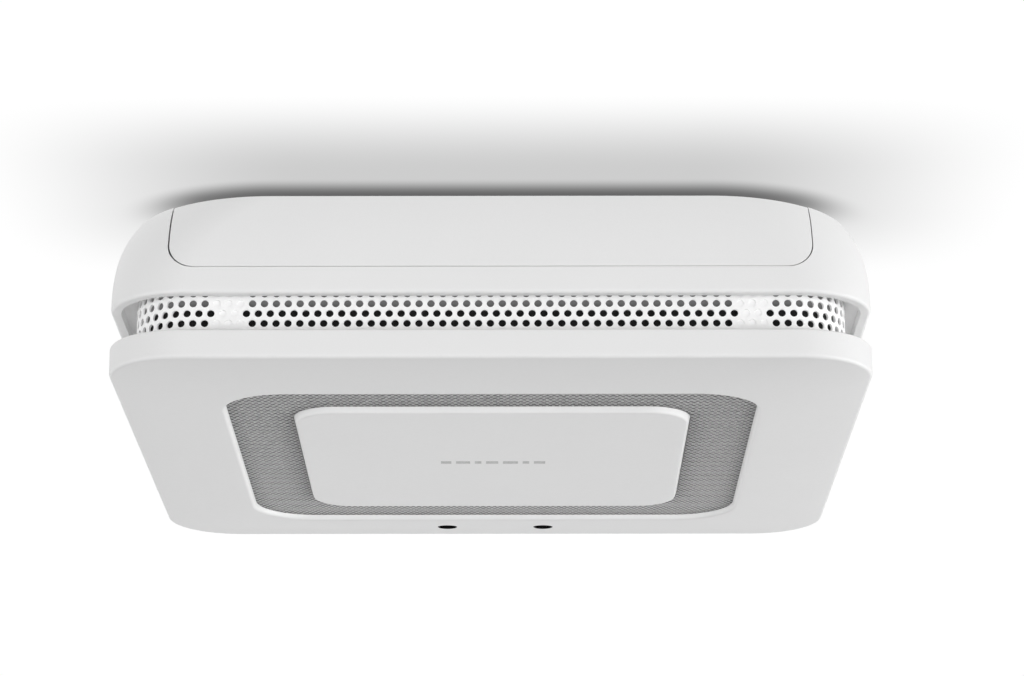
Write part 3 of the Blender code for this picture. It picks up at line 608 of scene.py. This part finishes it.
def make_flap():
    flap = outer_form("release_flap_shell")
    cut(flap, inner_form("inside", -25.0))
    combine(flap, flap_prism("outline", -0.5), "INTERSECT")
    tongue = bmesh.new()
    put_box(tongue, (-57.4, 57.4), (-74.64, -73.6), (-16.6, -14.8))
    join(flap, object_of("tongue", tongue))
    arms = bmesh.new()
    hooks = bmesh.new()
    noses = bmesh.new()
    for side in (-1, 1):
        across = (side * LATCH_X - 4.0, side * LATCH_X + 4.0)
        put_box(arms, sorted((side * 34.6, side * 37.0)), (-72.2, -66.1), (-5.8, -2.6))
        put_box(arms, across, (-73.4, -64.6), (-13.4, -11.8))
        put_box(hooks, across, (-65.3, -64.1), (-19.9, -12.4))
        put_box(noses, across, (-65.6, -64.8), (-19.9, -19.1))
    join(flap, object_of("arms", arms))
    join(flap, object_of("hooks", hooks))
    join(flap, object_of("noses", noses))
    pins = bmesh.new()
    for side in (-1, 1):
        put_rod(pins, 1.0, (FLAP_PIN_Y, FLAP_PIN_Z), *sorted((side * 31.2, side * 35.4)), "X", 24)
    join(flap, object_of("pins", pins))
    trim = bmesh.new()
    put_box(trim, (-80.0, 80.0), (-80.0, -55.0), (FLAP_TOP, 5.0))
    cut(flap, object_of("trim", trim))
    show(flap, "flap", "flap_white", "release_flap")


def make_frame():
    rim = OPENING_HALF
    corner = OPENING_CORNER
    sections = [(65.6, 9.0, FRAME_LIP), (72.0, 13.0, FRAME_LIP)]
    for inset, drop in reversed(quarter(0.5, 5, 0.0, 90.0)):
        sections.append((BODY_HALF - inset, BODY_CORNER - inset, FRAME_LIP - drop))
    wall_top = FRAME_LIP - 0.5
    wall_foot = FRAME_EDGE + 0.8
    for step in range(1, 4):
        sections.append((BODY_HALF, BODY_CORNER, wall_top + (wall_foot - wall_top) * step / 4.0))
    for inset, drop in quarter(0.8, 6, 0.0, 84.0):
        sections.append((BODY_HALF - inset, BODY_CORNER - inset * 0.8, FRAME_EDGE + drop))
    sections += [
        (72.8, 15.9, FRAME_EDGE - 0.2),
        (71.0, 16.1, FRAME_EDGE - 0.42),
        (68.5, 15.8, FRAME_EDGE - 0.65),
        (66.0, 15.4, FRAME_EDGE - 0.86),
        (63.0, 14.8, FRAME_EDGE - 1.08),
        (60.0, 14.2, FRAME_EDGE - 1.26),
        (57.5, 13.9, FRAME_EDGE - 1.39),
        (rim + 1.6, corner + 0.8, FRAME_RIM + 0.02),
    ]
    for inset, drop in reversed(quarter(0.85, 7, 4.0, 86.0)):
        sections.append((rim - 0.1 + inset, corner - 0.1 + inset, FRAME_RIM + drop))
    sections += [
        (rim - 0.2, corner - 0.2, -34.45),
        (rim + 1.5, corner + 1.0, -34.45),
        (rim + 1.5, corner + 1.0, -33.4),
        (70.0, 14.0, -32.5),
        (BODY_HALF - WALL, BODY_CORNER - WALL, -32.0),
        (BODY_HALF - WALL, BODY_CORNER - WALL, -29.8),
        (65.6, 9.0, -29.8),
    ]
    body = skin("front_frame_shell", sections, ring=True)
    bosses = bmesh.new()
    holes = bmesh.new()
    for x in (-HOUSING_SCREW, HOUSING_SCREW):
        for y in (-HOUSING_SCREW, HOUSING_SCREW):
            put_rod(bosses, 3.5, (x, y), -34.4, FLOOR_UNDERSIDE - 0.3)
            put_rod(holes, 1.6, (x, y), -28.6, -18.0)
    join(body, object_of("bosses", bosses))
    for x in (-PORT_X, PORT_X):
        put_rod(holes, PORT_RADIUS, (x, PORT_Y), -37.0, -31.0, segments=48)
    cut(body, object_of("holes", holes))
    show(body, "detector_body", "frame_white", "front_frame")


def make_button():
    half = BUTTON_HALF
    corner = BUTTON_CORNER
    sections = [(half + 0.42, corner + 0.42, BUTTON_RIM), (half + 0.4, corner + 0.4, -34.2)]
    for inset, drop in quarter(0.55, 6, 20.0, 84.0):
        sections.append((half - inset, corner - inset, BUTTON_FACE + drop))
    sections += [
        (half - 1.0, corner - 0.7, BUTTON_FACE + 0.001),
        (half - 2.0, corner - 1.2, BUTTON_FACE),
    ]
    button = skin("button_pad_shell", sections)
    inside = outline(half - 1.4, half - 1.4, corner - 1.4)
    cut(button, slab("inside", [inside], BUTTON_INSIDE, BUTTON_RIM + 1.0))
    stems = bmesh.new()
    put_rod(stems, 2.5, (0.0, 0.0), BUTTON_INSIDE - 0.4, -29.3)
    for x in (-BUTTON_SPRING, BUTTON_SPRING):
        for y in (-BUTTON_SPRING, BUTTON_SPRING):
            put_rod(stems, 1.2, (x, y), BUTTON_INSIDE - 0.4, BUTTON_INSIDE + 1.0)
    noses = bmesh.new()
    for side in (-1, 1):
        put_box(stems, (-3.0, 3.0), sorted((side * 35.3, side * 36.6)), (BUTTON_INSIDE - 0.4, -28.9))
        put_box(noses, (-3.0, 3.0), sorted((side * 36.2, side * 37.7)), (-30.3, -28.9))
    join(button, object_of("stems", stems))
    join(button, object_of("noses", noses))
    show(button, "button", "button_white", "button_pad")


# ---------------------------------------------------------------- vent ring and grille


def around(half, corner, distance, height, inwards):
    """A point on a round-cornered wall, by its distance along it from the middle of the near side."""
    straight = 2.0 * (half - corner)
    arc = math.pi / 2.0 * corner
    side = straight + arc
    turn, along = divmod(distance + straight / 2.0, side)
    if along <= straight:
        x, y = along - straight / 2.0, -(half - inwards)
    else:
        angle = (along - straight) / corner
        x = half - corner + (corner - inwards) * math.sin(angle)
        y = -(half - corner) - (corner - inwards) * math.cos(angle)
    spin = turn * math.pi / 2.0
    return (
        x * math.cos(spin) - y * math.sin(spin),
        x * math.sin(spin) + y * math.cos(spin),
        height,
    )


class Weave:
    """Collects the faces of a perforated wall, joining points that coincide."""

    def __init__(self):
        self.points = []
        self.faces = []
        self.known = {}

    def point(self, place):
        key = tuple(round(value * 2000.0) for value in place)
        if key not in self.known:
            self.known[key] = len(self.points)
            self.points.append(tuple(value * MM for value in place))
        return self.known[key]

    def face(self, places):
        corners = [self.point(place) for place in places]
        kept = [c for i, c in enumerate(corners) if c != corners[i - 1]]
        if len(kept) > 2:
            self.faces.append(kept)

    def object(self, name):
        mesh = bpy.data.meshes.new(name)
        mesh.from_pydata(self.points, [], self.faces)
        mesh.update()
        return add_object(name, mesh)


def cell(weave, place, rim, hole, depth, blind=None):
    """One cell of a perforated wall.

    Its rim and its hole are loops of (across, up) counted the same way, and place(across, up, inwards)
    gives a point. A blind hole stops at a shallow floor.
    """
    ratio = len(hole) // len(rim)
    layers = (0.0,) if blind else (0.0, depth)
    for inwards in layers:
        for i, corner in enumerate(rim):
            following = rim[(i + 1) % len(rim)]
            fan = [hole[(i * ratio + k) % len(hole)] for k in range(ratio + 1)]
            loop = [corner, following] + fan[::-1]
            if inwards:
                loop = loop[::-1]
            weave.face([place(a, u, inwards) for a, u in loop])
    floor = blind or depth
    for i, near in enumerate(hole):
        far = hole[(i + 1) % len(hole)]
        weave.face([place(*near, 0.0), place(*far, 0.0), place(*far, floor), place(*near, floor)])
    if blind:
        weave.face([place(a, u, blind) for a, u in hole])
        weave.face([place(a, u, depth) for a, u in reversed(rim)])


def make_vent_ring():
    """The band of holes in the slot; three columns near each corner are only dimples."""
    steps = 18
    perimeter = 8.0 * (VENT_HALF - VENT_CORNER) + 2.0 * math.pi * VENT_CORNER
    pitch = perimeter / VENT_COLUMNS
    weave = Weave()

    def place(distance, height, inwards):
        return around(VENT_HALF, VENT_CORNER, distance, height, inwards)

    for row, (height, phase) in enumerate(VENT_ROWS):
        upper = VENT_TOP if row == 0 else height + 1.0
        lower = height - 1.0
        for step in range(VENT_COLUMNS):
            middle = (step + phase) * pitch
            side = (middle + perimeter / 8.0) % (perimeter / 4.0) - perimeter / 8.0
            blank = 48.3 < abs(side) < 53.9
            rim = [
                (middle + pitch / 2.0, upper), (middle, upper), (middle - pitch / 2.0, upper),
                (middle - pitch / 2.0, lower), (middle, lower), (middle + pitch / 2.0, lower),
            ]
            hole = []
            for turn in range(steps):
                angle = math.radians(30.0) + 2.0 * math.pi * turn / steps
                across = middle + VENT_HOLE * math.cos(angle)
                hole.append((across, height + VENT_HOLE * math.sin(angle)))
            cell(weave, place, rim, hole, VENT_WALL, 0.3 if blank else None)
    foot = VENT_ROWS[-1][0] - 1.0
    strips = (
        ((VENT_BOTTOM, 0.0), (foot, 0.0)),
        ((foot, VENT_WALL), (VENT_BOTTOM, VENT_WALL)),
        ((VENT_BOTTOM, VENT_WALL), (VENT_BOTTOM, 0.0)),
        ((VENT_TOP, 0.0), (VENT_TOP, VENT_WALL)),
    )
    for step in range(2 * VENT_COLUMNS):
        a = step * pitch / 2.0
        b = a + pitch / 2.0
        for first, second in strips:
            weave.face([place(a, *first), place(b, *first), place(b, *second), place(a, *second)])
    ring = weave.object("vent_ring_shell")
    show(ring, "detector_body", "vent_white", "vent_ring", angle=40.0, weighted=False)


def inside_square(x, y, half, corner):
    dx = max(0.0, abs(x) - (half - corner))
    dy = max(0.0, abs(y) - (half - corner))
    return abs(x) <= half and abs(y) <= half and math.hypot(dx, dy) <= corner


def clear_of_square(x, y, half, corner):
    """The point itself, or the nearest one on a round-cornered square if it lies inside."""
    inner = half - corner
    dx = abs(x) - inner
    dy = abs(y) - inner
    if dx > 0.0 and dy > 0.0:
        reach = math.hypot(dx, dy)
        grow = max(1.0, corner / reach)
        return math.copysign(inner + dx * grow, x), math.copysign(inner + dy * grow, y)
    if dx > dy:
        return math.copysign(max(abs(x), half), x), y
    return x, math.copysign(max(abs(y), half), y)


def make_grille():
    """Perforated sheet around the button, in four pieces, trimmed along the button."""
    row_pitch = GRILLE_PITCH * math.sqrt(3.0) / 2.0
    reach = GRILLE_PITCH / math.sqrt(3.0)
    steps = 12
    inner = BUTTON_HALF + GRILLE_CLEARANCE
    inner_corner = BUTTON_CORNER + GRILLE_CLEARANCE
    sides = {"near": Weave(), "far": Weave(), "left": Weave(), "right": Weave()}

    def place(x, y, inwards):
        return (x, y, GRILLE_BOTTOM + inwards)

    for row in range(-50, 51):
        y = row * row_pitch
        for column in range(-44, 45):
            x = (column + 0.5 * (row % 2)) * GRILLE_PITCH
            if not inside_square(x, y, OPENING_HALF + 1.0, OPENING_CORNER + 0.6):
                continue
            rim = []
            for turn in range(6):
                angle = math.radians(30.0 + 60.0 * turn)
                rim.append((x + reach * math.cos(angle), y - reach * math.sin(angle)))
            if all(inside_square(*corner, inner, inner_corner) for corner in rim):
                continue
            rim = [clear_of_square(*corner, inner, inner_corner) for corner in rim]
            hole = []
            for turn in range(steps):
                angle = math.radians(30.0) + 2.0 * math.pi * turn / steps
                at = (x + GRILLE_HOLE * math.cos(angle), y - GRILLE_HOLE * math.sin(angle))
                hole.append(clear_of_square(*at, inner + 0.08, inner_corner + 0.08))
            if abs(y) > inner:
                word = "near" if y < 0.0 else "far"
            else:
                word = "left" if x < 0.0 else "right"
            cell(sides[word], place, rim, hole, GRILLE_TOP - GRILLE_BOTTOM)
    for word, weave in sides.items():
        piece = weave.object(f"grille_mesh_{word}")
        show(piece, "detector_body", "mesh_grey", "grille_mesh", angle=40.0, weighted=False)


def make_coil(name, x, y, low, high):
    per_turn = 28
    steps = COIL_TURNS * per_turn
    curve = bpy.data.curves.new(name, "CURVE")
    curve.dimensions = "3D"
    curve.bevel_depth = COIL_WIRE * MM
    curve.bevel_resolution = 3
    curve.use_fill_caps = True
    spline = curve.splines.new("POLY")
    spline.points.add(steps)
    for step, point in enumerate(spline.points):
        angle = 2.0 * math.pi * step / per_turn
        height = low + COIL_WIRE + (high - low - 2.0 * COIL_WIRE) * step / steps
        place = Vector((x + COIL_RADIUS * math.cos(angle), y + COIL_RADIUS * math.sin(angle), height))
        point.co = (*(place * MM), 1.0)
    holder = add_object(name, curve)
    mesh = evaluated_mesh(holder)
    bpy.data.objects.remove(holder)
    return add_object(name, mesh)


def make_springs():
    """The four wire coils behind the button, made at one length and fixed to the detector body."""
    low = BUTTON_INSIDE + 0.2
    high = CHASSIS_BOTTOM - 0.2
    for number, (side_x, side_y) in enumerate(((-1, -1), (1, -1), (-1, 1), (1, 1)), 1):
        x, y = side_x * BUTTON_SPRING, side_y * BUTTON_SPRING
        name = f"button_spring_{number}"
        coil = make_coil(name + "_coil", x, y, low, high)
        show(coil, "detector_body", "screw_steel", name, weighted=False)
        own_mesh(coil)


def make_light_pipes():
    for word, x in (("left", -PORT_X), ("right", PORT_X)):
        pipe = bmesh.new()
        put_rod(pipe, PORT_RADIUS - 0.1, (x, PORT_Y), -35.12, -31.4, segments=64)
        name = f"light_pipe_{word}"
        show(object_of(name + "_lens", pipe), "detector_body", "smoked_lens", name)


def make_mark():
    """A plain row of small bars on the button, in place of any lettering."""
    shape = bmesh.new()
    left = -(sum(MARK_WIDTHS) + MARK_GAP * (len(MARK_WIDTHS) - 1)) / 2.0
    for width in MARK_WIDTHS:
        put_box(shape, (left, left + width), (-1.0, 1.0), (BUTTON_FACE - 0.012, BUTTON_FACE + 0.01))
        left += width + MARK_GAP
    show(object_of("button_mark", shape), "button", "mesh_grey")


# ---------------------------------------------------------------- stage


def one_sided(name, normal_down, height, size):
    """A plane that only the camera sees, and only from one side: its shader tree and surface input."""
    mesh = bpy.data.meshes.new(name)
    half = size / 2.0
    corners = [(-half, -half, height), (half, -half, height), (half, half, height), (-half, half, height)]
    if normal_down:
        corners.reverse()
    mesh.from_pydata(corners, [], [(0, 1, 2, 3)])
    plane = add_object(name, mesh)
    for kind in ("diffuse", "glossy", "transmission", "volume_scatter", "shadow"):
        setattr(plane, f"visible_{kind}", False)
    material = bpy.data.materials.new(name)
    material.use_nodes = True
    tree = material.node_tree
    tree.nodes.clear()
    out = put(tree, "ShaderNodeOutputMaterial")
    mix = put(tree, "ShaderNodeMixShader")
    side = put(tree, "ShaderNodeNewGeometry")
    clear = put(tree, "ShaderNodeBsdfTransparent")
    tree.links.new(side.outputs["Backfacing"], mix.inputs[0])
    tree.links.new(clear.outputs[0], mix.inputs[2])
    tree.links.new(mix.outputs[0], out.inputs["Surface"])
    mesh.materials.append(material)
    return tree, mix.inputs[1]


def make_ceiling():
    """White ceiling with the soft shadow that the detector casts on its near side."""
    tree, surface = one_sided("ceiling", True, 0.00005, 40.0)

    def maths(operation, *values):
        return value_maths(tree, operation, *values)

    x, y, _ = axes(tree)
    across = maths("ABSOLUTE", maths("SUBTRACT", x, 0.002))
    # Distance from the detector's outline at the ceiling
    straight = (CEILING_HALF - CEILING_CORNER) * MM
    dx = maths("MAXIMUM", maths("SUBTRACT", maths("ABSOLUTE", x), straight), 0.0)
    dy = maths("MAXIMUM", maths("SUBTRACT", maths("ABSOLUTE", y), straight), 0.0)
    length = maths("SQRT", maths("ADD", maths("MULTIPLY", dx, dx), maths("MULTIPLY", dy, dy)))
    gap = maths("SUBTRACT", length, CEILING_CORNER * MM)
    broad = maths("MULTIPLY", fade(tree, across, 0.108, 0.036), fade(tree, y, -0.132, -0.086))
    broad = maths("MULTIPLY", broad, fade(tree, y, -0.012, -0.062))
    tight = maths("MULTIPLY", fade(tree, gap, 0.0095, -0.001), fade(tree, y, -0.05, -0.072))
    tight = maths("MULTIPLY", tight, fade(tree, across, 0.08, 0.058))
    darkness = maths("ADD", maths("MULTIPLY", broad, 0.205), maths("MULTIPLY", tight, 0.40))
    light = put(tree, "ShaderNodeEmission")
    strength = maths("POWER", maths("SUBTRACT", 1.006, darkness), 2.2)
    tree.links.new(strength, light.inputs["Strength"])
    tree.links.new(light.outputs[0], surface)


def make_floor():
    tree, surface = one_sided("floor", False, -0.13, 40.0)
    pale = put(tree, "ShaderNodeEmission")
    spots = ramp(tree, noise(tree, 3.0, 2.0), 0.0, 1.0)
    colour = mix_colours(tree, spots, (0.72, 0.72, 0.72), (0.76, 0.76, 0.76))
    tree.links.new(colour, pale.inputs["Color"])
    tree.links.new(pale.outputs[0], surface)


def make_world():
    """A pale studio: a bright band a little below eye level, stronger on the right and near sides."""
    world = bpy.data.worlds.new("surroundings")
    bpy.context.scene.world = world
    world.use_nodes = True
    tree = world.node_tree

    def maths(operation, *values):
        return value_maths(tree, operation, *values)

    x, y, z = axes(tree, "Generated")
    offset = maths("DIVIDE", maths("SUBTRACT", z, BAND_HEIGHT), BAND_WIDTH)
    band = maths("EXPONENT", maths("MULTIPLY", maths("MULTIPLY", offset, offset), -1.0))
    across = maths("MULTIPLY_ADD", maths("MULTIPLY_ADD", x, BAND_SIDES, BAND_RIGHT), x, BAND_MIDDLE)
    behind = maths("SUBTRACT", 1.0, maths("MULTIPLY", fade(tree, y, 0.1, 0.8), BAND_FAR_LOSS))
    band = maths("MULTIPLY", maths("MULTIPLY", band, across), maths("MULTIPLY", behind, BAND_LEVEL))
    above = maths("MULTIPLY", maths("MAXIMUM", z, 0.0), maths("ADD", y, 1.0))
    total = maths("ADD", maths("ADD", band, maths("MULTIPLY", above, TOP_LEVEL)), BASE_LEVEL)
    seen = put(tree, "ShaderNodeLightPath")
    plain = put(tree, "ShaderNodeMix", data_type="FLOAT")
    tree.links.new(seen.outputs["Is Camera Ray"], plain.inputs[0])
    tree.links.new(total, plain.inputs[2])
    plain.inputs[3].default_value = BACKDROP_LEVEL
    tree.links.new(plain.outputs[0], tree.nodes["Background"].inputs["Strength"])
    tree.nodes["Background"].inputs["Color"].default_value = (1.0, 1.0, 1.0, 1.0)


def make_lamp(name, place, size, power):
    data = bpy.data.lights.new(name, "AREA")
    data.shape = "DISK"
    data.size = size
    data.energy = power
    lamp = add_object(name, data)
    lamp.location = place
    lamp.rotation_euler = (-Vector(place)).to_track_quat("-Z", "Y").to_euler()


def make_camera():
    data = bpy.data.cameras.new("camera")
    data.sensor_width = 36.0
    data.lens = 120.53
    data.clip_start = 0.01
    data.clip_end = 100.0
    camera = add_object("camera", data)
    camera.location = Vector((5.634, -708.417, -215.881)) * MM
    camera.rotation_euler = (math.radians(90.0 + 16.343), math.radians(0.024), math.radians(0.136))
    bpy.context.scene.camera = camera


MATERIALS = make_materials()
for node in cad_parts.values():
    for index, slot in enumerate(node.data.materials):
        node.data.materials[index] = MATERIALS[slot.name.split(".")[0]]

make_housing()
make_flap()
make_frame()
make_button()
make_vent_ring()
make_grille()
make_springs()
make_light_pipes()
make_mark()
make_ceiling()
make_floor()
make_world()
make_lamp("key", (1.6, -1.7, -0.7), 0.8, 6.0)
make_camera()

scene = bpy.context.scene
scene.view_settings.view_transform = "Standard"
scene.view_settings.look = "None"
